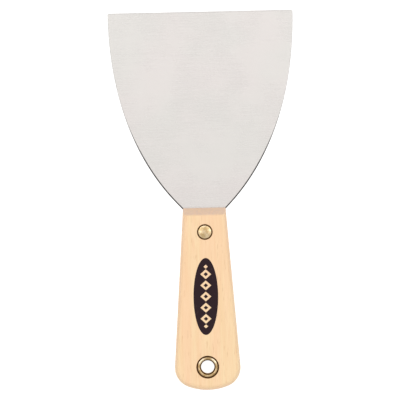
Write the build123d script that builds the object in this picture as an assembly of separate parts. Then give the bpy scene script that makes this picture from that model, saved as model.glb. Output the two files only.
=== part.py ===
"""Drywall taping knife: a flared steel blade whose tang runs between two hardwood scales.

The knife lies on its rear scale. X runs across the blade, +Y from the butt to the working
edge, +Z up out of the front scale. The origin is the middle of the box it fills, at the
bottom. All sizes are in millimetres.
"""
import os

from build123d import *

# Driving dimensions of the blade
EDGE_WIDTH = 101.6
EDGE_CORNER_RADIUS = 0.9
BLADE_REACH = 107.7          # working edge to the front of the handle
STOCK_THICKNESS = 1.0        # the tang and the neck
EDGE_THICKNESS = 0.5         # the working edge
TAPER_GRIND_LENGTH = 96.0    # from the working edge back to the full stock
SHOULDER_DEPTH = 0.8         # how far behind the handle's front the blade meets the tang
SIDE_HOLD = 74.0             # reach of the side curve's handle from the working edge
NECK_HOLD = 6.0              # reach of the side curve's handle from the tang
NECK_ANGLE = 39.0            # between the blade's side and the centre line at the tang
TANG_INSET = 0.1             # the steel stops this far inside the wood

# Driving dimensions of the handle
HANDLE_LENGTH = 99.8
HANDLE_THICKNESS = 15.0
FRONT_WIDTH = 23.4
SIDE_SLOPE = 0.0725          # half width gained for each millimetre towards the butt
BUTT_RADIUS = 30.0
BUTT_CORNER_RADIUS = 11.0
FRONT_CORNER_RADIUS = 0.6
SCALE_ROUND = 2.8            # along the scale's outer edge
BEVEL_LENGTH = 4.1           # of the slope at the front of each scale
BEVEL_DROP = 4.4
BEVEL_SOFTENING = 0.8        # where that slope meets the outer face

# Compression rivet: a headed sleeve and a headed pin pressed into it
RIVET_FROM_FRONT = 13.2
RIVET_SEAT_DIAMETER = 8.4
RIVET_SEAT_DEPTH = 1.6
RIVET_HEAD_DIAMETER = 7.6
RIVET_HEAD_RIM = 1.15
RIVET_HEAD_CROWN = 1.45
RIVET_RIM_ROUND = 0.45
SLEEVE_DIAMETER = 5.0
PIN_DIAMETER = 3.2
SLEEVE_END_GAP = 0.8         # between the sleeve's open end and the pin's head
PIN_END_GAP = 0.6            # between the pin's tip and the bottom of the sleeve's bore
SLEEVE_CAP = 0.6             # metal left between that bore and the seat of the head
PIN_LEAD = 0.4

# Hang-hole eyelet and its washer
EYELET_FROM_FRONT = 87.2
EYELET_BORE = 7.4
EYELET_WALL = 0.4
EYELET_FLANGE_DIAMETER = 11.8
EYELET_SEAT_DIAMETER = 12.3
EYELET_SEAT_DEPTH = 1.5
EYELET_LIP_STAND = 0.25      # straight part of the flange's outer lip
TAIL_ROLL_DIAMETER = 10.4    # the tail, rolled over the washer
TAIL_LIP_STAND = 0.15
WASHER_THICKNESS = 0.45
WASHER_ROUND = 0.27          # on its outer rim
FIT_CLEARANCE = 0.05         # of a sleeve or barrel in its hole, on the radius

# Ink panel printed on the front scale, with wood showing through its lozenges
PANEL_LENGTH = 42.1
PANEL_WIDTH = 13.5
PANEL_FROM_FRONT = 48.5      # to its middle
PANEL_OFFSET = -0.2          # of its middle from the centre line
PANEL_TURN = -0.9            # degrees; it is printed a little askew
INK_THICKNESS = 0.04
LOZENGE_COUNT = 5
LOZENGE_PITCH = 6.1
LOZENGE_WIDTH = 6.0
LOZENGE_LENGTH = 5.4
LOZENGE_CORE = 0.42          # size of the inked core against its lozenge
END_LOZENGE = 0.4            # size of the plain lozenge at each end of the row

CUT_MARGIN = 1.0             # how far a cutter runs past what it cuts
PICK_MARGIN = 0.1            # to tell the edges at the handle's front from the others

# Places worked out from them
LENGTH = BLADE_REACH + HANDLE_LENGTH
Y_EDGE = LENGTH / 2
Y_FRONT = Y_EDGE - BLADE_REACH
Y_BUTT = -LENGTH / 2
Y_RIVET = Y_FRONT - RIVET_FROM_FRONT
Y_EYELET = Y_FRONT - EYELET_FROM_FRONT
Y_PANEL = Y_FRONT - PANEL_FROM_FRONT
Z_MID = HANDLE_THICKNESS / 2
SCALE_THICKNESS = (HANDLE_THICKNESS - STOCK_THICKNESS) / 2


def half_width(y):
    """Half the handle's width at y, on its straight sides."""
    return FRONT_WIDTH / 2 + SIDE_SLOPE * (Y_FRONT - y)


def handle_outline():
    """The handle seen from the front: straight sides that widen to a shallow round butt."""
    y_corner = Y_BUTT + BUTT_RADIUS - (BUTT_RADIUS**2 - half_width(Y_BUTT) ** 2) ** 0.5
    corner_x = half_width(y_corner)
    front = Line((-FRONT_WIDTH / 2, Y_FRONT), (FRONT_WIDTH / 2, Y_FRONT))
    right = Line(front @ 1, (corner_x, y_corner))
    butt = ThreePointArc(right @ 1, (0, Y_BUTT), (-corner_x, y_corner))
    left = Line(butt @ 1, front @ 0)
    outline = make_face([front, right, butt, left])
    return fillet(outline.vertices().group_by(Axis.Y)[0], BUTT_CORNER_RADIUS)


def hole(diameter, y, low=-CUT_MARGIN, high=HANDLE_THICKNESS + CUT_MARGIN):
    """A round cutter along Z at y on the centre line, from low to high."""
    return Pos(0, y, low) * Cylinder(
        diameter / 2, high - low, align=(Align.CENTER, Align.CENTER, Align.MIN)
    )


def turned(profile, y):
    """A closed outline of radius and height, turned about the vertical axis at y."""
    return Pos(0, y, 0) * revolve(Plane.XZ * make_face(profile), Axis.Z)


def blade():
    """One piece of steel: the flared blade, tapered in thickness to its edge, and the tang."""
    neck_y = Y_FRONT - SHOULDER_DEPTH
    neck_x = half_width(neck_y) - TANG_INSET
    hold = Vector(0, NECK_HOLD).rotate(Axis.Z, -NECK_ANGLE)

    def side(sign):
        return Bezier(
            (sign * EDGE_WIDTH / 2, Y_EDGE),
            (sign * EDGE_WIDTH / 2, Y_EDGE - SIDE_HOLD),
            (sign * (neck_x + hold.X), neck_y + hold.Y),
            (sign * neck_x, neck_y),
        )

    right, left = side(1), side(-1)
    edge = Line(left @ 0, right @ 0)
    neck = Line(right @ 1, left @ 1)
    flare = make_face([edge, right, neck, left])
    flare = fillet(flare.vertices().group_by(Axis.Y)[-1], EDGE_CORNER_RADIUS)
    outline = flare + offset(handle_outline(), -TANG_INSET)
    plate = extrude(outline, HANDLE_THICKNESS)

    stock, edge_half = STOCK_THICKNESS / 2, EDGE_THICKNESS / 2
    y_full = Y_EDGE - TAPER_GRIND_LENGTH
    upper = [
        (Y_BUTT - CUT_MARGIN, Z_MID + stock),
        (y_full, Z_MID + stock),
        (Y_EDGE, Z_MID + edge_half),
    ]
    lower = [(y, 2 * Z_MID - z) for y, z in reversed(upper)]
    thickness = make_face(Polyline(*upper, *lower, close=True))
    body = plate & extrude(Plane.YZ * thickness, EDGE_WIDTH, both=True)
    body -= hole(SLEEVE_DIAMETER + 2 * FIT_CLEARANCE, Y_RIVET)
    body -= hole(EYELET_BORE + 2 * (EYELET_WALL + FIT_CLEARANCE), Y_EYELET)
    return body


def front_scale():
    """The upper half of the handle, rounded along its outer edge and bevelled at the front."""
    top = HANDLE_THICKNESS
    body = Pos(0, 0, Z_MID + STOCK_THICKNESS / 2) * extrude(handle_outline(), SCALE_THICKNESS)
    outer_face = body.faces().sort_by(Axis.Z)[-1]
    rim = [e for e in outer_face.edges() if e.center().Y < Y_FRONT - PICK_MARGIN]
    body = fillet(rim, SCALE_ROUND)
    bevel = [
        (Y_FRONT - BEVEL_LENGTH, top),
        (Y_FRONT + BEVEL_LENGTH, top - 2 * BEVEL_DROP),
        (Y_FRONT + BEVEL_LENGTH, top),
    ]
    body -= extrude(Plane.YZ * make_face(Polyline(*bevel, close=True)), FRONT_WIDTH, both=True)
    crest = [
        e for e in body.faces().sort_by(Axis.Z)[-1].edges()
        if e.center().Y > Y_FRONT - BEVEL_LENGTH - PICK_MARGIN
    ]
    body = fillet(crest, BEVEL_SOFTENING)
    corners = [e for e in body.edges().filter_by(Axis.Z) if e.center().Y > Y_FRONT - PICK_MARGIN]
    body = fillet(corners, FRONT_CORNER_RADIUS)
    body -= hole(SLEEVE_DIAMETER + 2 * FIT_CLEARANCE, Y_RIVET)
    body -= hole(RIVET_SEAT_DIAMETER, Y_RIVET, top - RIVET_SEAT_DEPTH)
    body -= hole(EYELET_BORE + 2 * (EYELET_WALL + FIT_CLEARANCE), Y_EYELET)
    body -= hole(EYELET_SEAT_DIAMETER, Y_EYELET, top - EYELET_SEAT_DEPTH)
    return body


def rear_scale():
    """The lower half, the mirror image of the front scale about the tang."""
    return mirror(front_scale(), Plane.XY.offset(Z_MID))


def head_profile(shank_radius):
    """Half section of a rivet head above its seat at height 0, down to the shank's radius."""
    rim, crown = RIVET_HEAD_RIM, RIVET_HEAD_CROWN
    radius, rounding = RIVET_HEAD_DIAMETER / 2, RIVET_RIM_ROUND
    dome = radius - rounding
    halfway = (dome / 2, crown - (crown - rim) / 4)
    inset = rounding * (1 - 0.5**0.5)
    return [
        Line((0, 0), (0, crown)),
        ThreePointArc((0, crown), halfway, (dome, rim)),
        ThreePointArc((dome, rim), (radius - inset, rim - inset), (radius, rim - rounding)),
        Line((radius, rim - rounding), (radius, 0)),
        Line((radius, 0), (shank_radius, 0)),
    ]


def rivet_sleeve():
    """The front half of the compression rivet: a domed head on a tube with a blind bore."""
    seat = HANDLE_THICKNESS - RIVET_SEAT_DEPTH
    end = RIVET_SEAT_DEPTH + SLEEVE_END_GAP
    outer = SLEEVE_DIAMETER / 2
    head = head_profile(outer)
    tube = Polyline((outer, 0), (outer, end - seat), (0, end - seat), (0, 0))
    body = Pos(0, Y_RIVET, seat) * revolve(Plane.XZ * make_face(head + [tube]), Axis.Z)
    return body - hole(PIN_DIAMETER, Y_RIVET, end - CUT_MARGIN, seat - SLEEVE_CAP)


def rivet_pin():
    """The rear half: a domed head on a solid pin, pressed up into the sleeve."""
    seat = RIVET_SEAT_DEPTH
    tip = HANDLE_THICKNESS - RIVET_SEAT_DEPTH - SLEEVE_CAP - PIN_END_GAP
    radius = PIN_DIAMETER / 2
    head = head_profile(radius)
    depth = seat - tip
    shank = Polyline(
        (radius, 0), (radius, depth + PIN_LEAD), (radius - PIN_LEAD, depth), (0, depth), (0, 0)
    )
    body = revolve(Plane.XZ * make_face(head + [shank]), Axis.Z)
    return Pos(0, Y_RIVET, seat) * mirror(body, Plane.XY)


def rolled_tube(seat, top, outer_radius, stand):
    """Edges of a sheet wall that rises in the eyelet's bore, rolls outwards to outer_radius
    and comes back down to height seat; top is where the straight barrel ends."""
    inner, wall = EYELET_BORE / 2, EYELET_WALL
    outside = (outer_radius - inner) / 2
    inside = outside - wall
    middle = inner + outside
    centre = seat + stand
    return [
        Line((inner, top), (inner, centre)),
        ThreePointArc((inner, centre), (middle, centre + outside), (outer_radius, centre)),
        Line((outer_radius, centre), (outer_radius, seat)),
        Line((outer_radius, seat), (outer_radius - wall, seat)),
        Line((outer_radius - wall, seat), (outer_radius - wall, centre)),
        ThreePointArc(
            (outer_radius - wall, centre), (middle, centre + inside), (inner + wall, centre)
        ),
        Line((inner + wall, centre), (inner + wall, top)),
        Line((inner + wall, top), (inner, top)),
    ]


def eyelet():
    """The brass tube that lines the hang hole: a rolled flange in front, its tail rolled over
    the washer at the rear."""
    seat = HANDLE_THICKNESS - EYELET_SEAT_DEPTH
    flange = rolled_tube(seat, Z_MID, EYELET_FLANGE_DIAMETER / 2, EYELET_LIP_STAND)
    front = turned(flange, Y_EYELET)
    tail_seat = EYELET_SEAT_DEPTH - WASHER_THICKNESS
    tail = rolled_tube(-tail_seat, -Z_MID, TAIL_ROLL_DIAMETER / 2, TAIL_LIP_STAND)
    rear = mirror(turned(tail, Y_EYELET), Plane.XY)
    return front + rear


def eyelet_washer():
    """The flat brass ring under the eyelet's rolled tail, with its outer rim softened."""
    inner = EYELET_BORE / 2 + EYELET_WALL + FIT_CLEARANCE
    outer = EYELET_FLANGE_DIAMETER / 2
    low = EYELET_SEAT_DEPTH - WASHER_THICKNESS
    ring = hole(2 * outer, Y_EYELET, low, EYELET_SEAT_DEPTH) - hole(2 * inner, Y_EYELET)
    rim = ring.edges().filter_by(GeomType.CIRCLE).sort_by(Axis.Z)[:2].sort_by(SortBy.RADIUS)[-1]
    return fillet(rim, WASHER_ROUND)


def lozenge(scale=1.0):
    """A diamond outline in the middle of the plane, scale times its full size."""
    x, y = LOZENGE_WIDTH * scale / 2, LOZENGE_LENGTH * scale / 2
    return make_face(Polyline((x, 0), (0, y), (-x, 0), (0, -y), close=True))


def ink_panel():
    """A thin oval film of ink, open where a row of lozenges shows the wood."""
    panel = Ellipse(PANEL_WIDTH / 2, PANEL_LENGTH / 2)
    middle = (LOZENGE_COUNT - 1) / 2
    for i in range(LOZENGE_COUNT):
        panel -= Pos(0, (i - middle) * LOZENGE_PITCH) * lozenge()
    for i in range(LOZENGE_COUNT):
        panel += Pos(0, (i - middle) * LOZENGE_PITCH) * lozenge(LOZENGE_CORE)
    row_end = (middle + 0.5) * LOZENGE_PITCH + LOZENGE_LENGTH * END_LOZENGE / 2
    for sign in (-1, 1):
        panel -= Pos(0, sign * row_end) * lozenge(END_LOZENGE)
    place = Pos(PANEL_OFFSET, Y_PANEL, HANDLE_THICKNESS) * Rot(0, 0, PANEL_TURN)
    return place * extrude(panel, INK_THICKNESS)


PARTS = {
    "blade": blade,
    "front_scale": front_scale,
    "rear_scale": rear_scale,
    "rivet_sleeve": rivet_sleeve,
    "rivet_pin": rivet_pin,
    "eyelet": eyelet,
    "eyelet_washer": eyelet_washer,
    "ink_panel": ink_panel,
}

os.makedirs("parts", exist_ok=True)
for name, make in PARTS.items():
    export_step(make(), f"parts/{name}.step")
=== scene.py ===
"""Drywall taping knife: the visible surfaces and finishes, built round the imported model.

The knife lies on its rear scale: X across the blade, +Y from the butt to the working edge, +Z
up out of the front scale. Sizes are in millimetres until a mesh or an object is made from them.
Angles are in degrees where a name says so.
"""
import math

import bmesh
import bpy
import numpy as np
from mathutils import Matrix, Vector


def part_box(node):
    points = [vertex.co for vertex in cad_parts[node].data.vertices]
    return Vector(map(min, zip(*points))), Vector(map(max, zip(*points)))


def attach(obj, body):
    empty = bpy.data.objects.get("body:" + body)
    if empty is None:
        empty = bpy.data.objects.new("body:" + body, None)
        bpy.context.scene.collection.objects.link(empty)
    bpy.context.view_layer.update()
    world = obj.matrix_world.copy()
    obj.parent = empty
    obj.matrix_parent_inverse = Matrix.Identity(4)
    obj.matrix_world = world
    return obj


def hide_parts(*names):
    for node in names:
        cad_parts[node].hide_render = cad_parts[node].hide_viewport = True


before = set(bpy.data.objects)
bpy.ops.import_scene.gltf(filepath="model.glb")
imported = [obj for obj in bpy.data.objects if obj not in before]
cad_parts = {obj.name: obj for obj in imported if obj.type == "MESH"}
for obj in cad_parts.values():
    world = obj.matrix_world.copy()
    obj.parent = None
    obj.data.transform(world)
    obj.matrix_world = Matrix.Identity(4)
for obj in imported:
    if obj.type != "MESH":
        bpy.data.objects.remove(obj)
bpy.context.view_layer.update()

MM = 0.001


def box_mm(node):
    """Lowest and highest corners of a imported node, in millimetres."""
    low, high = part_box(node)
    return np.array(low) / MM, np.array(high) / MM


def middle_y(node):
    """Where a round node's centre lies along the knife."""
    low, high = box_mm(node)
    return (low[1] + high[1]) / 2


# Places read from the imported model
SCALE_LOW, SCALE_HIGH = box_mm("front_scale")
EDGE_HALF, EDGE_Y = box_mm("blade")[1][:2]
FRONT_Y = SCALE_HIGH[1]
BUTT_Y = SCALE_LOW[1]
TOP_Z = SCALE_HIGH[2]
TANG_TOP_Z = SCALE_LOW[2]
MID_Z = TOP_Z / 2
RIVET_Y = middle_y("rivet_sleeve")
EYELET_Y = middle_y("eyelet")
STOCK_HALF = TANG_TOP_Z - MID_Z

# Blade
EDGE_CORNER_RADIUS = 0.9
EDGE_HALF_THICKNESS = 0.25
TAPER_LENGTH = 96.0
SHOULDER_DEPTH = 0.8         # how far behind the handle's front the blade meets the tang
SIDE_HOLD = 74.0             # reach of the side curve's handle from the working edge
NECK_HOLD = 6.0              # reach of the side curve's handle from the tang
NECK_DEGREES = 39.0
TANG_INSET = 0.1             # the steel stops this far inside the wood
ARRIS_REACH = (0.22, 0.80)   # rounding of the blade's long edges: inwards, at edge and neck
ARRIS_RISE = (0.12, 0.34)    # the same, upwards
ARRIS_GROWS = (45.0, 86.0)   # where its reach grows, from the working edge
ARRIS_HOLD = 0.12            # flat strip beside it that keeps the broad faces flat
EDGE_END_ROUND = 0.18        # rounding of the working edge itself

# Handle
FRONT_HALF = 11.7
SIDE_SLOPE = 0.0725          # half width gained for each millimetre towards the butt
BUTT_RADIUS = 30.0
BUTT_CORNER_RADIUS = 11.0
FRONT_CORNER_RADIUS = 0.6
SCALE_ROUND = 2.8
BEVEL_LENGTH = 4.1
BEVEL_DROP = 4.4
CREST_SOFTENING = 0.8        # half length of the curve between bevel and face
LOWER_ARRIS = 0.18           # where a scale meets the tang
WAIST_Y = (RIVET_Y + EYELET_Y) / 2

# Holes and seats in the handle
FIT_CLEARANCE = 0.05
SLEEVE_RADIUS = 2.5
PIN_RADIUS = 1.6
RIVET_SEAT_RADIUS = 4.2
RIVET_SEAT_DEPTH = 1.6
EYELET_BORE_RADIUS = 3.7
EYELET_WALL = 0.4
EYELET_SEAT_RADIUS = 6.15
EYELET_SEAT_DEPTH = 1.5
SEAT_ARRIS = 0.2

# Rivet, eyelet and washer
HEAD_RADIUS = 3.8
HEAD_RIM = 1.15
HEAD_CROWN = 1.45
HEAD_ROUND = 0.45
SLEEVE_END_GAP = 0.8
PIN_END_GAP = 0.6
SLEEVE_CAP = 0.6
PIN_LEAD = 0.4
FLANGE_RADIUS = 5.9
FLANGE_CREST_RADIUS = 4.9    # where the rolled flange is highest
FLANGE_HEIGHT = 1.32
TAIL_RADIUS = 5.2
TAIL_CREST_RADIUS = 4.45
TAIL_HEIGHT = 0.92
ROLL_STAND = 0.18            # share of a roll's height that stands straight at its lip
WASHER_THICKNESS = 0.45
WASHER_ROUND = 0.27

# Painted shade on the steel's edges, from 0 to 1; pairs are where one fades out and is full
ARRIS_SHADE = (0.4, 0.95)    # of the long edges, at the working edge and at the neck
ARRIS_DARKENS = (54.0, 84.0) # where that grows, from the working edge
ARRIS_FADE = (0.7, 1.0)      # shares of the rounding's reach
WORKING_EDGE_SHADE = 0.12
WORKING_EDGE_FADE = (0.3, 0.9)
NECK_MARGIN = 0.01           # what is this far ahead of the neck counts as flare
TANG_RIM_SHADE = 0.45
TANG_RIM_FADE = 0.1          # height over which it comes in

# Painted light on the wood: grey sheen and shade on the surfaces that turn from the face, and dark
# shade down in the seats
GREYED_FROM = (0.02, 0.32)   # 1 less the upright part of the surface's direction
FRONT_FACING = (0.1, 0.7)    # the part of that direction along the knife
SIDE_GREYING = 0.3           # share of it that surfaces not facing the front get
SEAT_SHADE_SPREAD = 0.04          # how far the painted shade of a seat reaches past its wall before it fades
SEAT_SHADE_LEVELS = (0.85, 0.98)   # at the seat's arris and at its floor
SEAT_SHADE_DEPTH = (0.05, 0.5)

# Marks on the brass: painted shade, a painted dark reflection and painted highlights, and the
# eyelet's own tarnish
SEAT_DEPTH_SHADE = 0.95         # painted shade, down in a seat
SEAT_DEPTH_FADE = 0.3           # depth over which it comes in
DARK_REFLECTION_PLACE = (0.3, 0.9)   # a painted dark reflection, from the middle of a fitting
DARK_REFLECTION_RADII = (0.5, 2.4)
DARK_REFLECTION_SHADE = 0.26
RING_SHADE = 0.40            # of an eyelet's rim: partly its tarnish and partly painted shade round the painted highlights
BORE_SHADE = 0.75            # painted shade of an eyelet's bore
BORE_FADE = 0.5
HIGHLIGHT_ARC_DEGREES = 45          # middle of each painted highlight arc, from the centre line
HIGHLIGHT_ARC_FADE = (30, 12)       # degrees from there
HIGHLIGHT_ARC_STRENGTH = 0.8

# Points along the surfaces
TOP_COLUMNS = 48
ARC_COLUMNS = 6
BLADE_ROWS = 90
CORNER_ROWS = 14
SIDE_COLUMNS = 48
CORNER_COLUMNS = 20
BUTT_COLUMNS = 24
FRONT_COLUMNS = 30
FRONT_CORNER_COLUMNS = 8
WAIST_COLUMNS = 26
FACE_RINGS = 5
TURN_COLUMNS = 144
BARREL_ROWS = 8
CREST_ROWS = 10
WALL_ROWS = 6


# ---------------------------------------------------------------- meshes

def with_height(plan, z):
    """Points of a plan (..., 2) given the height z, a number or an array."""
    return np.concatenate([plan, np.broadcast_to(z, plan.shape[:-1])[..., None]], -1)


def grid_faces(rows, columns, first, wrapped):
    """Four-cornered faces between the neighbours of a grid numbered row by row from first."""
    number = first + np.arange(rows * columns).reshape(rows, columns)
    if wrapped:
        number = np.hstack([number, number[:, :1]])
    corners = [number[:-1, :-1], number[:-1, 1:], number[1:, 1:], number[1:, :-1]]
    return np.stack(corners, -1).reshape(-1, 4)


def piece(name, grids, node, material):
    """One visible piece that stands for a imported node. grids is a list of (points, wrapped):
    points in millimetres as (rows, columns, 3), wrapped when the last column joins the first.
    Grids that share a border are sewn together there, and rows that shrink to a point close."""
    points, faces, count = [], [], 0
    for grid, wrapped in grids:
        rows, columns = grid.shape[:2]
        points.append(grid.reshape(-1, 3))
        faces.append(grid_faces(rows, columns, count, wrapped))
        count += rows * columns
    mesh = bpy.data.meshes.new(name)
    mesh.from_pydata((np.concatenate(points) * MM).tolist(), [], np.concatenate(faces).tolist())
    work = bmesh.new()
    work.from_mesh(mesh)
    bmesh.ops.remove_doubles(work, verts=work.verts, dist=0.002 * MM)
    bmesh.ops.dissolve_degenerate(work, edges=work.edges, dist=0.001 * MM)
    bmesh.ops.recalc_face_normals(work, faces=work.faces)
    work.to_mesh(mesh)
    work.free()
    mesh.shade_smooth()
    mesh.set_sharp_from_angle(angle=math.radians(38))
    mesh.materials.append(material)
    body = bpy.data.objects.new(name, mesh)
    bpy.context.scene.collection.objects.link(body)
    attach(body, "root")
    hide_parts(node)
    return body


def points_of(mesh):
    """A mesh's points in millimetres, and its normals there."""
    points = np.empty(len(mesh.vertices) * 3, np.float32)
    mesh.vertices.foreach_get("co", points)
    normals = np.empty_like(points)
    mesh.vertex_normals.foreach_get("vector", normals)
    return points.reshape(-1, 3) / MM, normals.reshape(-1, 3)


def mark(body, name, values):
    """Stores one number for every point of a piece, for its material to read."""
    attribute = body.data.attributes.new(name, "FLOAT", "POINT")
    attribute.data.foreach_set("value", np.asarray(values, np.float32))


def smooth_step(value, low, high):
    """0 below low, 1 above high and a smooth S between them."""
    t = np.clip((value - low) / (high - low), 0, 1)
    return t * t * (3 - 2 * t)


def turned(profile, y, columns=TURN_COLUMNS):
    """A profile of (radius, height) turned about the upright axis at y: every point of the
    profile runs round a circle of its own radius at its own height."""
    profile = np.asarray(profile, float)
    angle = np.linspace(0, 2 * math.pi, columns, endpoint=False)
    radius, height = profile[:, :1], profile[:, 1:]
    x = radius * np.cos(angle)
    return np.stack([x, y + radius * np.sin(angle), np.broadcast_to(height, x.shape)], -1)


def arc(centre, radii, start, end, count):
    """Points of an ellipse about centre with radii (across, up), from start to end degrees."""
    angle = np.radians(np.linspace(start, end, count))
    return np.stack(
        [centre[0] + radii[0] * np.cos(angle), centre[1] + radii[1] * np.sin(angle)], -1
    )


def between(first, last, count, ends=True):
    """Points on a straight line, with or without its two ends."""
    step = np.linspace(0, 1, count + (0 if ends else 2))
    step = step if ends else step[1:-1]
    return np.asarray(first) + (np.asarray(last) - np.asarray(first)) * step[:, None]


# ---------------------------------------------------------------- the handle's plan

SIDE_LENGTHENING = math.hypot(1, SIDE_SLOPE)
SIDE_NORMAL = np.array([1, SIDE_SLOPE]) / SIDE_LENGTHENING
SIDE_TURN = math.atan(SIDE_SLOPE)


def half_width(y):
    """Half the handle's width at y, on its straight sides."""
    return FRONT_HALF + SIDE_SLOPE * (FRONT_Y - y)


def butt_corner():
    """Centre of the round corner between side and butt, and the direction in which it runs
    into the butt. The centre is a corner radius inside the side line and a corner radius
    inside the butt's circle, which gives the direction from one cosine."""
    butt_centre = np.array([0, BUTT_Y + BUTT_RADIUS])
    to_side = np.dot([FRONT_HALF, FRONT_Y], SIDE_NORMAL) - BUTT_CORNER_RADIUS
    reach = BUTT_RADIUS - BUTT_CORNER_RADIUS
    turn = SIDE_TURN - math.acos((to_side - np.dot(butt_centre, SIDE_NORMAL)) / reach)
    return butt_centre + reach * np.array([math.cos(turn), math.sin(turn)]), turn


def side_and_butt(start_y, inset):
    """The handle's outline, inset, from start_y on its right side to the waist, down to the
    round corner, along the butt's arc, and the mirror image of that up the left side."""
    centre, turn = butt_corner()
    start = (half_width(start_y) - inset * SIDE_LENGTHENING, start_y)
    waist = (half_width(WAIST_Y) - inset * SIDE_LENGTHENING, WAIST_Y)
    corner_radius = BUTT_CORNER_RADIUS - inset
    butt_radius = BUTT_RADIUS - inset
    right = [
        between(start, waist, SIDE_COLUMNS),
        between(waist, centre + corner_radius * SIDE_NORMAL, SIDE_COLUMNS)[1:],
        arc(centre, (corner_radius,) * 2, math.degrees(SIDE_TURN), math.degrees(turn),
            CORNER_COLUMNS)[1:],
        arc((0, BUTT_Y + BUTT_RADIUS), (butt_radius,) * 2, math.degrees(turn), -90,
            BUTT_COLUMNS)[1:],
    ]
    right = np.concatenate(right)
    return np.concatenate([right, right[-2::-1] * (-1, 1)])


def handle_loop(inset, setback, corner):
    """The whole outline as a closed loop that begins at the waist on the left: up the left
    side, across the front, which is set back, and down the right side and round the butt."""
    corner_y = FRONT_Y - setback - corner
    corner_x = half_width(corner_y) - (inset + corner) * SIDE_LENGTHENING
    start_y = corner_y + corner * SIDE_NORMAL[1]
    rest = side_and_butt(start_y, inset)
    right_corner = arc((corner_x, corner_y), (corner,) * 2, 90, math.degrees(SIDE_TURN),
                       FRONT_CORNER_COLUMNS)[:-1]
    left_corner = right_corner[::-1] * (-1, 1)
    front = between(left_corner[-1], right_corner[0], FRONT_COLUMNS, ends=False)
    split = len(rest) - SIDE_COLUMNS
    return np.concatenate([rest[split:], left_corner, front, right_corner, rest[:split]])


WAIST_RIGHT = SIDE_COLUMNS + 2 * (FRONT_CORNER_COLUMNS - 1) + FRONT_COLUMNS + SIDE_COLUMNS - 1


def waist_loops(loop):
    """Cuts a closed loop in two along the waist: the part round the rivet and the part round
    the eyelet, both closed by the same straight row of points."""
    waist = between(loop[WAIST_RIGHT], loop[0], WAIST_COLUMNS, ends=False)
    front = np.concatenate([loop[:WAIST_RIGHT + 1], waist])
    rear = np.concatenate([loop[WAIST_RIGHT:], loop[:1], waist[::-1]])
    return front, rear


def rays_from(loop, y):
    """Directions from the centre of a hole at y to every point of the loop round it."""
    away = loop - (0, y)
    return away / np.linalg.norm(away, axis=1)[:, None]


def face_round_hole(loop, rays, y, radius, z):
    """Flat face between a round hole and the loop round it: every point of the loop is joined
    to the hole along its ray, in equal steps."""
    rim = np.array([0, y]) + rays * radius
    step = np.linspace(0, 1, FACE_RINGS)[:, None, None]
    return with_height(rim + (loop - rim) * step, z)


def hole_wall(rays, y, profile):
    """A profile of (radius, height) carried round a hole along the given rays."""
    profile = np.asarray(profile, float)
    plan = np.array([0, y]) + rays * profile[:, 0][:, None, None]
    return with_height(plan, profile[:, 1][:, None])


# ---------------------------------------------------------------- wooden scales

def stepped_hole(seat_radius, seat_depth, hole_radius):
    """Profile of a seat and the hole through its floor, from the soft arris at the face down
    to the tang."""
    rim = arc((seat_radius + SEAT_ARRIS, TOP_Z - SEAT_ARRIS), (SEAT_ARRIS,) * 2, 90, 180, 5)
    floor = TOP_Z - seat_depth
    corner = [(seat_radius, floor), (hole_radius, floor), (hole_radius, TANG_TOP_Z)]
    return np.concatenate([rim, between(rim[-1], corner[0], 4)[1:-1], corner])


def face_drop(loop, inset):
    """How far the scale's outer surface lies below its face at the points of a loop. Near the
    sides and the butt it is a quarter round; near the front it is a straight slope with a
    softened crest; where both fall, the two drops are combined as a cube root of the sum of
    their cubes, which rounds the edge between them."""
    x, y = np.abs(loop[:, 0]), loop[:, 1]
    from_side = (half_width(y) - x) / SIDE_LENGTHENING
    from_side = np.where(y < WAIST_Y, inset, from_side)
    rest = SCALE_ROUND - np.clip(from_side, 0, SCALE_ROUND)
    side_drop = SCALE_ROUND - np.sqrt(SCALE_ROUND**2 - rest**2)
    past_crest = BEVEL_LENGTH - (FRONT_Y - y)
    slope = BEVEL_DROP / BEVEL_LENGTH
    soft = np.clip(past_crest + CREST_SOFTENING, 0, None) ** 2 / (4 * CREST_SOFTENING)
    front_drop = slope * np.where(past_crest > CREST_SOFTENING, past_crest, soft)
    return np.cbrt(side_drop**3 + front_drop**3)


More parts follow.
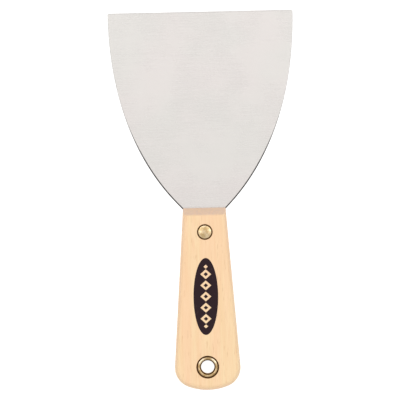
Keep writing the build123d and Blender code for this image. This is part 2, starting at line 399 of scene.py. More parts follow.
def scale_grids():
    """Surfaces of the front scale: the rounded rim, the walls, the face and the back with the
    two stepped holes between them."""
    turn = np.radians(np.linspace(90, 0, 2 * CREST_ROWS - 1))
    insets = SCALE_ROUND * (1 - np.sin(turn))
    crest = BEVEL_LENGTH - CREST_SOFTENING
    setbacks = np.concatenate([
        np.linspace(0, crest, CREST_ROWS),
        np.linspace(crest, crest + 2 * CREST_SOFTENING, CREST_ROWS)[1:],
    ])
    corners = np.linspace(FRONT_CORNER_RADIUS, FRONT_CORNER_RADIUS / 4, len(setbacks))
    loops = [handle_loop(*row) for row in zip(insets, setbacks, corners)]
    rim = [with_height(p, TOP_Z - face_drop(p, a)) for p, a in zip(loops, insets)]
    wall_foot = with_height(loops[0], TANG_TOP_Z + LOWER_ARRIS)
    wall = rim[0] + (wall_foot - rim[0]) * np.linspace(0, 1, WALL_ROWS)[:, None, None]
    arris = []
    for turn in np.radians(np.linspace(0, 90, 5)):
        inset = LOWER_ARRIS * (1 - math.cos(turn))
        plan = handle_loop(inset, inset, FRONT_CORNER_RADIUS - inset)
        arris.append(with_height(plan, TANG_TOP_Z + LOWER_ARRIS * (1 - math.sin(turn))))
    grids = [(np.array(rim), True), (wall, True), (np.array(arris), True)]
    holes = [
        (RIVET_Y, RIVET_SEAT_RADIUS, RIVET_SEAT_DEPTH, SLEEVE_RADIUS + FIT_CLEARANCE),
        (EYELET_Y, EYELET_SEAT_RADIUS, EYELET_SEAT_DEPTH,
         EYELET_BORE_RADIUS + EYELET_WALL + FIT_CLEARANCE),
    ]
    back = handle_loop(LOWER_ARRIS, LOWER_ARRIS, FRONT_CORNER_RADIUS - LOWER_ARRIS)
    for face, rear_face, hole in zip(waist_loops(loops[-1]), waist_loops(back), holes):
        y, seat_radius, seat_depth, hole_radius = hole
        rays = rays_from(face, y)
        profile = stepped_hole(seat_radius, seat_depth, hole_radius)
        grids += [
            (face_round_hole(face, rays, y, profile[0, 0], TOP_Z), True),
            (hole_wall(rays, y, profile), True),
            (face_round_hole(rear_face, rays, y, hole_radius, TANG_TOP_Z), True),
        ]
    return grids


def flipped(grids):
    """The same surfaces turned over: their mirror image in the middle plane of the tang."""
    return [(np.stack([g[..., 0], g[..., 1], 2 * MID_Z - g[..., 2]], -1), w) for g, w in grids]


# ---------------------------------------------------------------- steel blade

def blade_side(t):
    """The blade's right side as a cubic curve of t, from the working edge to the tang."""
    t = np.asarray(t)[:, None]
    neck_y = FRONT_Y - SHOULDER_DEPTH
    neck = np.array([half_width(neck_y) - TANG_INSET * SIDE_LENGTHENING, neck_y])
    lean = math.radians(NECK_DEGREES)
    start = np.array([EDGE_HALF, EDGE_Y])
    first_hold = start - (0, SIDE_HOLD)
    last_hold = neck + NECK_HOLD * np.array([math.sin(lean), math.cos(lean)])
    return (
        (1 - t) ** 3 * start
        + 3 * (1 - t) ** 2 * t * first_hold
        + 3 * (1 - t) * t**2 * last_hold
        + t**3 * neck
    )


def thickness_at(y):
    """Half the steel's thickness: full at the neck, tapering evenly to the working edge."""
    back = np.clip((EDGE_Y - y) / TAPER_LENGTH, 0, 1)
    return EDGE_HALF_THICKNESS + (STOCK_HALF - EDGE_HALF_THICKNESS) * back


def arris_reach(back):
    """How far the rounding of the long edges reaches inwards, back from the working edge."""
    return ARRIS_REACH[0] + (ARRIS_REACH[1] - ARRIS_REACH[0]) * smooth_step(back, *ARRIS_GROWS)


def section_loops(y, half_x, half_z, reach, rise):
    """Closed cross sections at the stations y, as rows of a grid: flat above and below, with
    each long edge rounded by a quarter ellipse of the given reach inwards and rise upwards."""
    y, half_x, half_z, reach, rise = (v[:, None] for v in (y, half_x, half_z, reach, rise))
    flat_x = (half_x - reach - ARRIS_HOLD) * np.linspace(-1, 1, TOP_COLUMNS - 2)
    flat_x = np.concatenate([reach - half_x, flat_x, half_x - reach], 1)
    flat_z = np.broadcast_to(half_z, flat_x.shape)
    turn = np.linspace(0, math.pi / 2, ARC_COLUMNS + 1)[1:]
    arc_x = half_x - reach * (1 - np.sin(turn))
    arc_z = half_z - rise * (1 - np.cos(turn))
    x = np.concatenate([flat_x, arc_x, arc_x[:, ::-1]], 1)
    z = np.concatenate([flat_z, arc_z, -arc_z[:, ::-1]], 1)
    x, z = np.concatenate([x, -x], 1), np.concatenate([z, -z], 1)
    return np.stack([x, np.broadcast_to(y, x.shape), MID_Z + z], -1)


def flare_grid():
    """The flared part of the blade: cross sections along the side curve. Close to the working
    edge the half width follows the small corner radius, and the thickness ends in a half
    ellipse, so the edge is soft and closed."""
    first = EDGE_CORNER_RADIUS * (1 - np.cos(np.linspace(0, math.pi / 2, CORNER_ROWS)))
    t = np.concatenate([first / (3 * SIDE_HOLD), np.linspace(0, 1, BLADE_ROWS)[1:]])
    t = np.sort(t)
    side = blade_side(t)
    half_x, y = side[:, 0], side[:, 1]
    back = EDGE_Y - y
    corner = np.clip(EDGE_CORNER_RADIUS - back, 0, None)
    half_x = half_x - (EDGE_CORNER_RADIUS - np.sqrt(EDGE_CORNER_RADIUS**2 - corner**2))
    end = np.clip(1 - back / EDGE_END_ROUND, 0, 1)
    half_z = thickness_at(y) * np.sqrt(1 - end**2)
    lean = np.gradient(side[:, 0], side[:, 1])
    towards_neck = smooth_step(back, 0, EDGE_Y - FRONT_Y)
    reach = arris_reach(back) * np.hypot(1, lean)
    rise = np.minimum(np.interp(towards_neck, (0, 1), ARRIS_RISE), half_z * 0.95)
    return section_loops(y, half_x, half_z, reach, rise)


def blade_grids():
    """The flare, and the tang behind it: the tang's rounded rim, its two faces and the walls
    of its two holes."""
    flare = flare_grid()
    neck = flare[-1]
    neck_y = neck[0, 1]
    rim_x = neck[TOP_COLUMNS - 1:TOP_COLUMNS + 2 * ARC_COLUMNS, 0]
    rim_x = np.append(rim_x, rim_x[0])
    rim_z = neck[TOP_COLUMNS - 1:TOP_COLUMNS + 2 * ARC_COLUMNS, 2]
    rim_z = np.append(rim_z, 2 * MID_Z - rim_z[0])
    insets = (rim_x.max() - rim_x) / SIDE_LENGTHENING + TANG_INSET
    loops = [side_and_butt(neck_y, inset) for inset in insets]
    rim = np.array([with_height(loop, z) for loop, z in zip(loops, rim_z)])
    split = len(loops[0]) - SIDE_COLUMNS
    loop = np.concatenate([loops[0][split:], neck[1:TOP_COLUMNS - 1, :2], loops[0][:split]])
    right_waist = SIDE_COLUMNS + TOP_COLUMNS - 2 + SIDE_COLUMNS - 1
    waist = between(loop[right_waist], loop[0], WAIST_COLUMNS, ends=False)
    front = np.concatenate([loop[:right_waist + 1], waist])
    rear = np.concatenate([loop[right_waist:], loop[:1], waist[::-1]])
    top, bottom = MID_Z + STOCK_HALF, MID_Z - STOCK_HALF
    holes = [
        (front, RIVET_Y, SLEEVE_RADIUS + FIT_CLEARANCE),
        (rear, EYELET_Y, EYELET_BORE_RADIUS + EYELET_WALL + FIT_CLEARANCE),
    ]
    grids = [(flare, True), (rim, False)]
    for loop, y, radius in holes:
        rays = rays_from(loop, y)
        grids += [
            (face_round_hole(loop, rays, y, radius, top), True),
            (hole_wall(rays, y, [(radius, top), (radius, bottom)]), True),
            (face_round_hole(loop, rays, y, radius, bottom), True),
        ]
    return grids


# ---------------------------------------------------------------- brass fittings

def head_profile():
    """Radius and height of a rivet head over its seat: a shallow dome that falls as the
    square of the radius, a rounded rim and a straight side."""
    dome = HEAD_RADIUS - HEAD_ROUND
    radius = np.linspace(0, dome, 14)
    crown = HEAD_CROWN - (HEAD_CROWN - HEAD_RIM) * (radius / dome) ** 2
    rim = arc((dome, HEAD_RIM - HEAD_ROUND), (HEAD_ROUND,) * 2, 80, 0, 8)
    return np.concatenate([np.stack([radius, crown], -1), rim, [(HEAD_RADIUS, 0)]])


def sleeve_profile():
    """The front head and its tube, down to the open end and back up the blind bore."""
    seat = TOP_Z - RIVET_SEAT_DEPTH
    end = RIVET_SEAT_DEPTH + SLEEVE_END_GAP
    bore_top = seat - SLEEVE_CAP
    tube = [(SLEEVE_RADIUS, seat), (SLEEVE_RADIUS, end), (PIN_RADIUS, end), (PIN_RADIUS, bore_top),
            (0, bore_top)]
    return np.concatenate([head_profile() + (0, seat), tube])


def pin_profile():
    """The rear head and its pin, with a short lead at the tip, as heights from the bottom."""
    seat = RIVET_SEAT_DEPTH
    tip = TOP_Z - RIVET_SEAT_DEPTH - SLEEVE_CAP - PIN_END_GAP
    head = head_profile() * (1, -1) + (0, seat)
    pin = [(PIN_RADIUS, seat), (PIN_RADIUS, tip - PIN_LEAD), (PIN_RADIUS - PIN_LEAD, tip), (0, tip)]
    return np.concatenate([head, pin])


def closed(profile):
    """A profile with its first point repeated at the end."""
    return np.concatenate([profile, profile[:1]])


def rolled_rim(seat, crest_radius, outer_radius, height):
    """Outer skin of a sheet wall that leaves the bore, rolls outwards over a crest and comes
    down on its seat, and the inner skin one wall thickness behind it: two quarter ellipses
    that meet at the crest, the inner skin's smaller by the wall."""
    inner = EYELET_BORE_RADIUS
    spring = seat + ROLL_STAND * height
    rise = seat + height - spring
    inwards, outwards = crest_radius - inner, outer_radius - crest_radius
    outside = np.concatenate([
        arc((crest_radius, spring), (inwards, rise), 180, 90, 14),
        arc((crest_radius, spring), (outwards, rise), 90, 0, 14)[1:],
        [(outer_radius, seat)],
    ])
    wall = EYELET_WALL
    inside = np.concatenate([
        [(outer_radius - wall, seat)],
        arc((crest_radius, spring), (outwards - wall, rise - wall), 0, 90, 10),
        arc((crest_radius, spring), (inwards - wall, rise - wall), 90, 180, 10)[1:],
    ])
    return outside, inside


def eyelet_profile():
    """Closed wall of the eyelet: the front flange, the barrel and the tail that is rolled
    over the washer at the rear."""
    outside, inside = rolled_rim(
        TOP_Z - EYELET_SEAT_DEPTH, FLANGE_CREST_RADIUS, FLANGE_RADIUS, FLANGE_HEIGHT
    )
    tail_seat = TOP_Z - (EYELET_SEAT_DEPTH - WASHER_THICKNESS)
    tail = rolled_rim(tail_seat, TAIL_CREST_RADIUS, TAIL_RADIUS, TAIL_HEIGHT)
    tail_out, tail_in = [part * (1, -1) + (0, 2 * MID_Z) for part in tail]
    barrel_in = between(tail_out[0], outside[0], BARREL_ROWS)[1:-1]
    barrel_out = between(inside[-1], tail_in[-1], BARREL_ROWS)[1:-1]
    walls = [outside, inside, barrel_out, tail_in[::-1], tail_out[::-1], barrel_in]
    return closed(np.concatenate(walls))


def washer_profile():
    """Closed section of the flat ring under the rolled tail, softened at its outer rim."""
    inner = EYELET_BORE_RADIUS + EYELET_WALL + FIT_CLEARANCE
    low = EYELET_SEAT_DEPTH - WASHER_THICKNESS
    high = EYELET_SEAT_DEPTH
    rim = arc((FLANGE_RADIUS - WASHER_ROUND, low + WASHER_ROUND), (WASHER_ROUND,) * 2, -90, 0, 6)
    return closed(np.concatenate([[(inner, high), (inner, low)], rim, [(FLANGE_RADIUS, high)]]))


# ---------------------------------------------------------------- shader groups

def new_group(name, inputs, outputs):
    """An empty shader node group with the given sockets, as (name, kind, value) tuples."""
    tree = bpy.data.node_groups.new(name, "ShaderNodeTree")
    for label, kind, value in inputs:
        socket = tree.interface.new_socket(name=label, in_out="INPUT", socket_type=kind)
        if value is not None:
            socket.default_value = value
    for label, kind in outputs:
        tree.interface.new_socket(name=label, in_out="OUTPUT", socket_type=kind)
    return tree, tree.nodes.new("NodeGroupInput"), tree.nodes.new("NodeGroupOutput")


def add(tree, kind, settings=None, **inputs):
    """A new node. settings are its own properties; every other keyword is an input socket by
    its name or i0, i1, ... by its place, given a value or an output socket to link from."""
    made = tree.nodes.new("ShaderNode" + kind)
    for key, value in (settings or {}).items():
        setattr(made, key, value)
    for key, value in inputs.items():
        place = int(key[1:]) if key[0] == "i" and key[1:].isdigit() else key.replace("_", " ")
        if isinstance(value, bpy.types.NodeSocket):
            tree.links.new(value, made.inputs[place])
        else:
            made.inputs[place].default_value = value
    return made


def math_node(tree, operation, *values):
    """The output of one arithmetic node."""
    inputs = {f"i{n}": value for n, value in enumerate(values)}
    return add(tree, "Math", {"operation": operation}, **inputs).outputs[0]


def mix_colour(tree, factor, first, second, blend="MIX"):
    """The output of a colour mix."""
    made = add(tree, "Mix", {"data_type": "RGBA", "blend_type": blend}, i0=factor, i6=first,
               i7=second)
    return made.outputs[2]


def streaks_group():
    """Noise drawn out along one direction, as fibres, grinding lines and brushing are. Grain
    is the number of features in a millimetre along each axis; Low and High are the noise
    values that become 0 and 1."""
    tree, given, out = new_group(
        "streaks",
        [("Position", "NodeSocketVector", None), ("Grain", "NodeSocketVector", (1, 1, 1)),
         ("Detail", "NodeSocketFloat", 2.0), ("Low", "NodeSocketFloat", 0.3),
         ("High", "NodeSocketFloat", 0.7)],
        [("Value", "NodeSocketFloat")],
    )
    stretched = add(tree, "VectorMath", {"operation": "MULTIPLY"},
                    i0=given.outputs["Position"], i1=given.outputs["Grain"])
    noise = add(tree, "TexNoise", Vector=stretched.outputs[0], Scale=1.0,
                Detail=given.outputs["Detail"], Roughness=0.55)
    spread = add(tree, "MapRange", {"interpolation_type": "SMOOTHSTEP"}, Value=noise.outputs[0],
                 From_Min=given.outputs["Low"], From_Max=given.outputs["High"])
    tree.links.new(spread.outputs[0], out.inputs["Value"])
    return tree


def growth_rings_group(streaks):
    """Rings round a pith line that runs along the handle: the distance from the pith, pushed
    about by slow noise, is divided into years, and each year darkens towards its end."""
    tree, given, out = new_group(
        "growth_rings",
        [("Position", "NodeSocketVector", None), ("Pith", "NodeSocketVector", (0, 0, 0)),
         ("Ring Width", "NodeSocketFloat", 2.2)],
        [("Late Wood", "NodeSocketFloat")],
    )
    wander = add(tree, "Group", {"node_tree": streaks}, Position=given.outputs["Position"],
                 Grain=(0.05, 0.012, 0.05), Low=0.2, High=0.8)
    away = add(tree, "VectorMath", {"operation": "SUBTRACT"}, i0=given.outputs["Position"],
               i1=given.outputs["Pith"])
    flat = add(tree, "VectorMath", {"operation": "MULTIPLY"}, i0=away.outputs[0], i1=(1, 0, 1))
    length = add(tree, "VectorMath", {"operation": "LENGTH"}, i0=flat.outputs[0])
    pushed = math_node(tree, "MULTIPLY_ADD", wander.outputs[0], 7.0, length.outputs["Value"])
    years = math_node(tree, "DIVIDE", pushed, given.outputs["Ring Width"])
    phase = math_node(tree, "FRACT", years)
    rise = math_node(tree, "POWER", phase, 2.5)
    fall = add(tree, "MapRange", {"interpolation_type": "SMOOTHSTEP"}, Value=phase,
               From_Min=0.9, From_Max=1.0, To_Min=1.0, To_Max=0.0)
    late = math_node(tree, "MULTIPLY", rise, fall.outputs[0])
    tree.links.new(late, out.inputs["Late Wood"])
    return tree


def handling_group(streaks):
    """Marks of use: soft smudges, and fine scratches in two slanting directions."""
    tree, given, out = new_group(
        "handling_marks",
        [("Position", "NodeSocketVector", None), ("Smudge Size", "NodeSocketFloat", 20.0),
         ("Scratch Density", "NodeSocketFloat", 0.5)],
        [("Smudge", "NodeSocketFloat"), ("Scratch", "NodeSocketFloat")],
    )
    scale = math_node(tree, "DIVIDE", 1.0, given.outputs["Smudge Size"])
    sized = add(tree, "VectorMath", {"operation": "SCALE"}, i0=given.outputs["Position"],
                Scale=scale)
    smudge = add(tree, "Group", {"node_tree": streaks}, Position=sized.outputs[0],
                 Grain=(1, 1, 1), Detail=4.0, Low=0.35, High=0.68)
    marks = []
    for degrees in (24, -37):
        turn = add(tree, "VectorRotate", {"rotation_type": "Z_AXIS"},
                   Vector=given.outputs["Position"], Angle=math.radians(degrees))
        floor = math_node(tree, "MULTIPLY_ADD", given.outputs["Scratch Density"], -0.12, 0.76)
        ceiling = math_node(tree, "ADD", floor, 0.05)
        marks.append(add(tree, "Group", {"node_tree": streaks}, Position=turn.outputs[0],
                         Grain=(5.0, 0.06, 1.0), Detail=1.0, Low=floor, High=ceiling))
    scratch = math_node(tree, "MAXIMUM", marks[0].outputs[0], marks[1].outputs[0])
    tree.links.new(smudge.outputs[0], out.inputs["Smudge"])
    tree.links.new(scratch, out.inputs["Scratch"])
    return tree


# ---------------------------------------------------------------- finishes

def new_finish(name):
    """A material with its Principled shader and its object coordinates in millimetres."""
    material = bpy.data.materials.new(name)
    material.use_nodes = True
    tree = material.node_tree
    shader = tree.nodes["Principled BSDF"]
    place = add(tree, "TexCoord")
    millimetres = add(tree, "Mapping", Vector=place.outputs["Object"], Scale=(1 / MM,) * 3)
    return material, tree, shader, millimetres.outputs[0]


def bump(tree, height, strength, distance):
    """A normal pushed by height, whose full range stands for distance in millimetres."""
    return add(tree, "Bump", Strength=strength, Distance=distance * MM, Height=height).outputs[0]


def steel_finish(streaks, handling):
    """Polished carbon steel: fine grinding lines across the blade, faint warm and cool
    clouds, light smudges and scratches, and near-black painted shade on its edges where it is
    marked."""
    material, tree, shader, place = new_finish("polished_steel")
    lines = add(tree, "Group", {"node_tree": streaks}, Position=place, Grain=(0.06, 9.0, 9.0),
                Detail=3.0, Low=0.3, High=0.7).outputs[0]
    clouds = add(tree, "Group", {"node_tree": streaks}, Position=place,
                 Grain=(0.022, 0.03, 0.03), Detail=2.0, Low=0.35, High=0.65).outputs[0]
    marks = add(tree, "Group", {"node_tree": handling}, Position=place, Smudge_Size=24.0,
                Scratch_Density=0.25)
    colour = mix_colour(tree, clouds, (0.632, 0.598, 0.584, 1), (0.616, 0.598, 0.578, 1))
    light = math_node(tree, "MULTIPLY", lines, 0.04)
    colour = mix_colour(tree, light, colour, (0.565, 0.54, 0.515, 1))
    dull = math_node(tree, "MULTIPLY", marks.outputs["Smudge"], 0.06)
    colour = mix_colour(tree, dull, colour, (0.565, 0.535, 0.50, 1))
    # painted shade, near black, on the blade's edges
    edge = add(tree, "Attribute", {"attribute_name": "painted_edge_shade"}).outputs["Fac"]
    colour = mix_colour(tree, edge, colour, (0.035, 0.033, 0.031, 1))
    shader.inputs["Metallic"].default_value = 1.0
    tree.links.new(colour, shader.inputs["Base Color"])
    rough = math_node(tree, "MULTIPLY_ADD", lines, 0.04, 0.25)
    rough = math_node(tree, "MULTIPLY_ADD", marks.outputs["Smudge"], 0.03, rough)
    rough = math_node(tree, "MULTIPLY_ADD", edge, 0.15, rough)
    tree.links.new(rough, shader.inputs["Roughness"])
    height = math_node(tree, "MULTIPLY_ADD", marks.outputs["Scratch"], -0.6, lines)
    tree.links.new(bump(tree, height, 0.07, 0.01), shader.inputs["Normal"])
    return material


def wood_finish(name, streaks, rings, offset, pith):
    """Pale close-grained hardwood under a thin lacquer: faint growth rings, broad bands,
    fibres, short darker flecks along the grain, a cloudy grey painted sheen and shade on the
    surfaces that turn from the face, and matt dark brown painted shade where the fittings are
    seated. Every board has its own place in the pattern, given by offset, and its own pith."""
    material, tree, shader, place = new_finish(name)
    board = add(tree, "VectorMath", {"operation": "ADD"}, i0=place, i1=offset).outputs[0]
    late = add(tree, "Group", {"node_tree": rings}, Position=place, Pith=pith,
               Ring_Width=2.3).outputs[0]

    def streak(grain, detail, low, high):
        """Streaks of this board, as a mask."""
        return add(tree, "Group", {"node_tree": streaks}, Position=board, Grain=grain,
                   Detail=detail, Low=low, High=high).outputs[0]

    tone = streak((0.16, 0.010, 0.16), 2.0, 0.35, 0.65)
    fibre = streak((4.2, 0.10, 4.2), 3.0, 0.3, 0.7)
    band = streak((0.75, 0.022, 0.75), 2.0, 0.45, 0.68)
    fleck = streak((2.3, 0.17, 2.3), 1.0, 0.64, 0.73)
    colour = mix_colour(tree, tone, (0.895, 0.690, 0.425, 1), (0.905, 0.635, 0.405, 1))
    colour = mix_colour(tree, math_node(tree, "MULTIPLY", late, 0.22), colour,
                        (0.80, 0.47, 0.25, 1))
    colour = mix_colour(tree, math_node(tree, "MULTIPLY", band, 0.40), colour,
                        (0.84, 0.56, 0.31, 1))
    colour = mix_colour(tree, math_node(tree, "MULTIPLY", fibre, 0.30), colour,
                        (0.82, 0.50, 0.27, 1))
    colour = mix_colour(tree, math_node(tree, "MULTIPLY", fleck, 0.38), colour,
                        (0.58, 0.33, 0.16, 1))
    # painted sheen and shade: a cloudy grey where the surface turns from the face
    painted_sheen_and_shade = add(tree, "Attribute", {"attribute_name": "painted_sheen_and_shade"}).outputs["Fac"]
    cloudy = streak((0.9, 0.30, 0.9), 3.0, 0.32, 0.68)
    cover = math_node(tree, "MULTIPLY_ADD", cloudy, 0.44, 0.56)
    colour = mix_colour(tree, math_node(tree, "MULTIPLY", painted_sheen_and_shade, cover), colour,
                        (0.745, 0.545, 0.425, 1))
    # painted shade, dark brown, down in the seats of the fittings
    painted_seat_shade = add(tree, "Attribute", {"attribute_name": "painted_seat_shade"}).outputs["Fac"]
    colour = mix_colour(tree, painted_seat_shade, colour, (0.24, 0.088, 0.003, 1))
    tree.links.new(colour, shader.inputs["Base Color"])
    rough = math_node(tree, "MULTIPLY_ADD", fibre, 0.10, 0.42)
    rough = math_node(tree, "MULTIPLY_ADD", fleck, 0.1, rough)
    tree.links.new(math_node(tree, "MULTIPLY_ADD", painted_seat_shade, 0.4, rough), shader.inputs["Roughness"])
    tree.links.new(math_node(tree, "MULTIPLY_ADD", painted_seat_shade, -0.12, 0.12),
                   shader.inputs["Coat Weight"])
    shader.inputs["Coat Roughness"].default_value = 0.3
    shader.inputs["Specular IOR Level"].default_value = 0.25
    height = math_node(tree, "MULTIPLY_ADD", fleck, -0.8, fibre)
    tree.links.new(bump(tree, height, 0.2, 0.03), shader.inputs["Normal"])
    return material


def brass_finish(streaks, handling):
    """Pale polished brass, mottled and finely brushed, paler where it is marked with a painted
    highlight, and dark brown where it is marked as tarnished or in painted shade."""
    material, tree, shader, place = new_finish("polished_brass")
    mottle = add(tree, "Group", {"node_tree": streaks}, Position=place, Grain=(0.42, 0.42, 0.42),
                 Detail=3.0, Low=0.36, High=0.64).outputs[0]
    brushed = add(tree, "Group", {"node_tree": streaks}, Position=place, Grain=(9.0, 1.2, 9.0),
                  Detail=2.0, Low=0.3, High=0.7).outputs[0]
    marks = add(tree, "Group", {"node_tree": handling}, Position=place, Smudge_Size=3.0,
                Scratch_Density=0.6)
    colour = mix_colour(tree, mottle, (0.68, 0.540, 0.355, 1), (0.46, 0.330, 0.170, 1))
    dull = math_node(tree, "MULTIPLY", marks.outputs["Smudge"], 0.25)
    colour = mix_colour(tree, dull, colour, (0.42, 0.29, 0.12, 1))
    # painted highlight: paler brass on two arcs of the eyelet's rim
    highlight_mask = add(tree, "Attribute", {"attribute_name": "painted_highlight"}).outputs["Fac"]
    colour = mix_colour(tree, highlight_mask, colour, (0.80, 0.68, 0.49, 1))
    # dark brown: painted shade in seats and bores, a painted dark reflection, and the eyelet's
    # tarnish
    tarnish_and_shade = add(tree, "Attribute", {"attribute_name": "tarnish_and_shade"}).outputs["Fac"]
    colour = mix_colour(tree, tarnish_and_shade, colour, (0.22, 0.105, 0.012, 1))
    shader.inputs["Metallic"].default_value = 1.0
    shader.inputs["Specular Tint"].default_value = (0.9, 0.6, 0.3, 1)
    tree.links.new(colour, shader.inputs["Base Color"])
    rough = math_node(tree, "MULTIPLY_ADD", brushed, 0.06, 0.22)
    rough = math_node(tree, "MULTIPLY_ADD", tarnish_and_shade, 0.25, rough)
    tree.links.new(math_node(tree, "MULTIPLY_ADD", mottle, 0.06, rough),
                   shader.inputs["Roughness"])
    height = math_node(tree, "MULTIPLY_ADD", marks.outputs["Scratch"], -0.8, brushed)
    height = math_node(tree, "MULTIPLY_ADD", mottle, 1.4, height)
    tree.links.new(bump(tree, height, 0.25, 0.02), shader.inputs["Normal"])
    return material


def ink_finish(streaks):
    """Near-black printing ink on wood: it follows the fibres, and is thinner in spots."""
    material, tree, shader, place = new_finish("printed_ink")
    fibre = add(tree, "Group", {"node_tree": streaks}, Position=place, Grain=(4.2, 0.10, 4.2),
                Detail=3.0, Low=0.3, High=0.7).outputs[0]
    thin = add(tree, "Group", {"node_tree": streaks}, Position=place, Grain=(0.9, 0.35, 0.9),
               Detail=4.0, Low=0.60, High=0.78).outputs[0]
    colour = mix_colour(tree, math_node(tree, "MULTIPLY", fibre, 0.35), (0.021, 0.009, 0.013, 1),
                        (0.034, 0.019, 0.022, 1))
    colour = mix_colour(tree, math_node(tree, "MULTIPLY", thin, 0.35), colour,
                        (0.20, 0.13, 0.10, 1))
    tree.links.new(colour, shader.inputs["Base Color"])
    tree.links.new(math_node(tree, "MULTIPLY_ADD", fibre, 0.15, 0.45), shader.inputs["Roughness"])
    shader.inputs["Specular IOR Level"].default_value = 0.1
    tree.links.new(bump(tree, fibre, 0.25, 0.02), shader.inputs["Normal"])
    return material


def floor_finish():
    """A pale table that gives off a little light of its own, so that shadows stay faint."""
    material, _, shader, _ = new_finish("pale_floor")
    shader.inputs["Base Color"].default_value = (0.3, 0.3, 0.3, 1)
    shader.inputs["Roughness"].default_value = 0.9
    shader.inputs["Specular IOR Level"].default_value = 0.0
    shader.inputs["Emission Color"].default_value = (1, 1, 1, 1)
    shader.inputs["Emission Strength"].default_value = 0.97
    return material


# ---------------------------------------------------------------- the knife

def make_blade(material):
    """The blade, with painted shade marked on its edges: the rounding of the long edges, more
    strongly towards the neck, faintly the working edge, and lightly the tang's rim, which is
    sanded with the wood and is told by its height."""
    blade = piece("steel_blade", blade_grids(), "blade", material)
    points, _ = points_of(blade.data)
    back = EDGE_Y - points[:, 1]
    side = blade_side(np.linspace(0, 1, 400))[::-1]
    lean = np.hypot(1, np.gradient(side[:, 0], side[:, 1]))
    inwards = np.interp(points[:, 1], side[:, 1], side[:, 0]) - np.abs(points[:, 0])
    inwards = inwards / np.interp(points[:, 1], side[:, 1], lean)
    rounding = 1 - smooth_step(inwards / arris_reach(back), *ARRIS_FADE)
    strength = np.interp(smooth_step(back, *ARRIS_DARKENS), (0, 1), ARRIS_SHADE)
    working_edge = WORKING_EDGE_SHADE * (1 - smooth_step(back, *WORKING_EDGE_FADE))
    flare = np.maximum(rounding * strength, working_edge)
    rim = smooth_step(STOCK_HALF - np.abs(points[:, 2] - MID_Z), 0, TANG_RIM_FADE)
    in_flare = points[:, 1] > side[0, 1] + NECK_MARGIN
    shade = np.where(in_flare, flare, TANG_RIM_SHADE * rim)
    # painted shade on the edges, for the material to read
    mark(blade, "painted_edge_shade", shade)
    return blade


def make_scale(name, node, grids, material):
    """A scale, with painted shade in its seats, darker with depth, and with painted sheen and
    shade on the surfaces that turn away from its face: they are greyer, and the front slope most of
    all."""
    scale = piece(name, grids, node, material)
    points, normals = points_of(scale.data)
    # painted sheen and shade, from the direction the surface faces
    painted_sheen_and_shade = smooth_step(1 - np.abs(normals[:, 2]), *GREYED_FROM)
    share = np.interp(smooth_step(normals[:, 1], *FRONT_FACING), (0, 1), (SIDE_GREYING, 1))
    mark(scale, "painted_sheen_and_shade", painted_sheen_and_shade * share)
    # painted shade in the seats, darker with depth
    depth = np.minimum(TOP_Z - points[:, 2], points[:, 2])
    painted_seat_shade = np.zeros(len(points))
    for y, radius in ((RIVET_Y, RIVET_SEAT_RADIUS), (EYELET_Y, EYELET_SEAT_RADIUS)):
        away = np.hypot(points[:, 0], points[:, 1] - y)
        inside = 1 - smooth_step(away, radius + SEAT_SHADE_SPREAD, radius + SEAT_ARRIS)
        shade = np.interp(smooth_step(depth, *SEAT_SHADE_DEPTH), (0, 1), SEAT_SHADE_LEVELS)
        painted_seat_shade = np.maximum(painted_seat_shade, inside * shade)
    mark(scale, "painted_seat_shade", painted_seat_shade)
    return scale


def make_fitting(name, node, profile, y, material, dark_from, dark_inside=0):
    """A turned brass fitting, with painted shade where it goes down into its seat, as its depth
    below the face passes dark_from, and a faint painted dark reflection in a patch just off its
    middle. An eyelet, which has dark_inside, has painted shade in its bore, from that radius
    inwards, and is darker a little all over, partly tarnish and partly painted shade, apart from
    two arcs of its rim on the blade's side that carry a painted highlight."""
    fitting = piece(name, [(turned(profile, y), True)], node, material)
    points, _ = points_of(fitting.data)
    x, along = points[:, 0], points[:, 1] - y
    depth = np.minimum(TOP_Z - points[:, 2], points[:, 2])
    # painted dark reflection in a patch just off the middle
    patch = np.hypot(x - DARK_REFLECTION_PLACE[0], along - DARK_REFLECTION_PLACE[1])
    # painted shade down in the seat, and the painted dark reflection
    tarnish_and_shade = np.maximum(
        SEAT_DEPTH_SHADE * smooth_step(depth, dark_from, dark_from + SEAT_DEPTH_FADE),
        DARK_REFLECTION_SHADE * (1 - smooth_step(patch, *DARK_REFLECTION_RADII)),
    )
    highlight_arcs = np.zeros(len(points))
    if dark_inside:
        # painted shade down in the bore
        bore = 1 - smooth_step(np.hypot(x, along), dark_inside - BORE_FADE, dark_inside)
        # two painted highlight arcs on the rim, with darker brass round them
        from_arc = np.abs(np.degrees(np.arctan2(np.abs(x), along)) - HIGHLIGHT_ARC_DEGREES)
        highlight_arcs = smooth_step(from_arc, *HIGHLIGHT_ARC_FADE)
        tarnish_and_shade = np.maximum(tarnish_and_shade, RING_SHADE * (1 - highlight_arcs))
        tarnish_and_shade = np.maximum(tarnish_and_shade, BORE_SHADE * bore)
        highlight_arcs = HIGHLIGHT_ARC_STRENGTH * highlight_arcs * (1 - bore)
    mark(fitting, "tarnish_and_shade", tarnish_and_shade)
    mark(fitting, "painted_highlight", highlight_arcs)
    return fitting


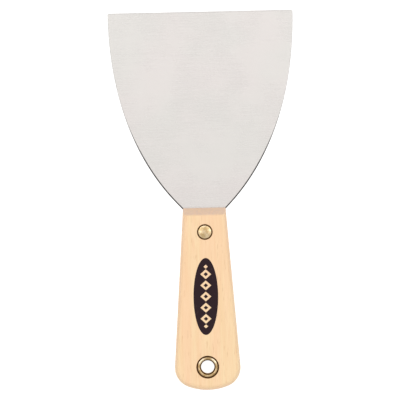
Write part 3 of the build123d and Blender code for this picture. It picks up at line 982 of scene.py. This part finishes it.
def make_knife():
    """All the pieces of the knife."""
    streaks = streaks_group()
    rings = growth_rings_group(streaks)
    handling = handling_group(streaks)
    steel = steel_finish(streaks, handling)
    brass = brass_finish(streaks, handling)
    front_wood = wood_finish("front_hardwood", streaks, rings, (0, 0, 0), (-38, 0, -14))
    rear_wood = wood_finish("rear_hardwood", streaks, rings, (31, 47, 12), (30, 0, 44))
    make_blade(steel)
    front = scale_grids()
    make_scale("front_wooden_scale", "front_scale", front, front_wood)
    make_scale("rear_wooden_scale", "rear_scale", flipped(front), rear_wood)
    make_fitting("rivet_head_and_sleeve", "rivet_sleeve", sleeve_profile(), RIVET_Y, brass,
                 dark_from=0.5)
    make_fitting("rivet_head_and_pin", "rivet_pin", pin_profile(), RIVET_Y, brass,
                 dark_from=0.5)
    make_fitting("rolled_eyelet", "eyelet", eyelet_profile(), EYELET_Y, brass,
                 dark_from=0.45, dark_inside=4.6)
    make_fitting("eyelet_backing_washer", "eyelet_washer", washer_profile(), EYELET_Y, brass,
                 dark_from=1.2)
    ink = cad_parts["ink_panel"]
    ink.data.materials.clear()
    ink.data.materials.append(ink_finish(streaks))


# ---------------------------------------------------------------- studio

CAMERA_DISTANCE = 3.0        # metres
CAMERA_ROLL_DEGREES = -1.255
VIEW_WIDTH = 219.5           # what the frame spans across, at the middle of the knife
VIEW_SHIFT = (-2.25, 0.38)   # of the frame's middle from the knife's, across and up
SENSOR_WIDTH = 36.0
FAR_CLIP = 20.0              # metres, past everything in the studio
FLOOR_GAP = 0.02             # between the knife and the floor
FLOOR_COLUMNS = 64
LIGHT_PLACE = (1.38, 0.78, 3.06)    # of the right soft box, in metres
LIGHT_SIZE = 1.8             # metres
LIGHT_WATTS = 20.7
ROOM_DARKEST, ROOM_BRIGHTEST = 0.22, 1.0    # at the horizon and overhead


def make_camera():
    """A long lens straight above the knife, turned a little, so that the knife leans left."""
    data = bpy.data.cameras.new("studio_camera")
    data.sensor_width = SENSOR_WIDTH
    distance = CAMERA_DISTANCE - MID_Z * MM
    data.lens = SENSOR_WIDTH * distance / (VIEW_WIDTH * MM)
    data.clip_end = FAR_CLIP
    camera = bpy.data.objects.new("studio_camera", data)
    bpy.context.scene.collection.objects.link(camera)
    roll = math.radians(CAMERA_ROLL_DEGREES)
    across, up = VIEW_SHIFT
    camera.location = (
        (across * math.cos(roll) - up * math.sin(roll)) * MM,
        (across * math.sin(roll) + up * math.cos(roll)) * MM,
        CAMERA_DISTANCE,
    )
    camera.rotation_euler = (0, 0, roll)
    bpy.context.scene.camera = camera


def make_floor():
    """A wide pale disc just under the knife: rings of points about the middle, the last of
    them so far out that the rim stays out of sight."""
    radius = np.array([0.0, 0.4, 1.2, 3.0]) / MM
    grid = turned(np.stack([radius, np.full(len(radius), -FLOOR_GAP)], -1), 0, FLOOR_COLUMNS)
    mesh = bpy.data.meshes.new("floor")
    rows, columns = grid.shape[:2]
    faces = grid_faces(rows, columns, 0, True)
    mesh.from_pydata((grid.reshape(-1, 3) * MM).tolist(), [], faces[:, ::-1].tolist())
    work = bmesh.new()
    work.from_mesh(mesh)
    bmesh.ops.remove_doubles(work, verts=work.verts, dist=MM)
    work.to_mesh(mesh)
    work.free()
    mesh.materials.append(floor_finish())
    floor = bpy.data.objects.new("floor", mesh)
    bpy.context.scene.collection.objects.link(floor)


def soft_box(name, place):
    """A square soft light at place, in metres, that faces the knife."""
    data = bpy.data.lights.new(name, "AREA")
    data.size = LIGHT_SIZE
    data.energy = LIGHT_WATTS
    light = bpy.data.objects.new(name, data)
    bpy.context.scene.collection.objects.link(light)
    light.location = place
    light.rotation_euler = Vector(place).to_track_quat("Z", "Y").to_euler()


def make_lights():
    """Two soft boxes beyond the working edge, left and right, in a pale room that is dimmer
    towards the horizon."""
    across, along, up = LIGHT_PLACE
    soft_box("left_soft_box", (-across, along, up))
    soft_box("right_soft_box", (across, along, up))
    world = bpy.data.worlds.new("pale_room")
    bpy.context.scene.world = world
    world.use_nodes = True
    tree = world.node_tree
    tree.nodes.clear()
    direction = add(tree, "TexCoord").outputs["Generated"]
    height = add(tree, "SeparateXYZ", Vector=direction).outputs["Z"]
    ceiling = add(tree, "MapRange", {"interpolation_type": "SMOOTHSTEP"}, Value=height,
                  From_Min=0.0, From_Max=0.9, To_Min=ROOM_DARKEST, To_Max=ROOM_BRIGHTEST)
    background = add(tree, "Background", Color=(1.0, 0.995, 0.985, 1),
                     Strength=ceiling.outputs[0])
    add(tree, "OutputWorld", Surface=background.outputs[0])


make_camera()
make_knife()
make_floor()
make_lights()
bpy.context.scene.view_settings.view_transform = "Standard"
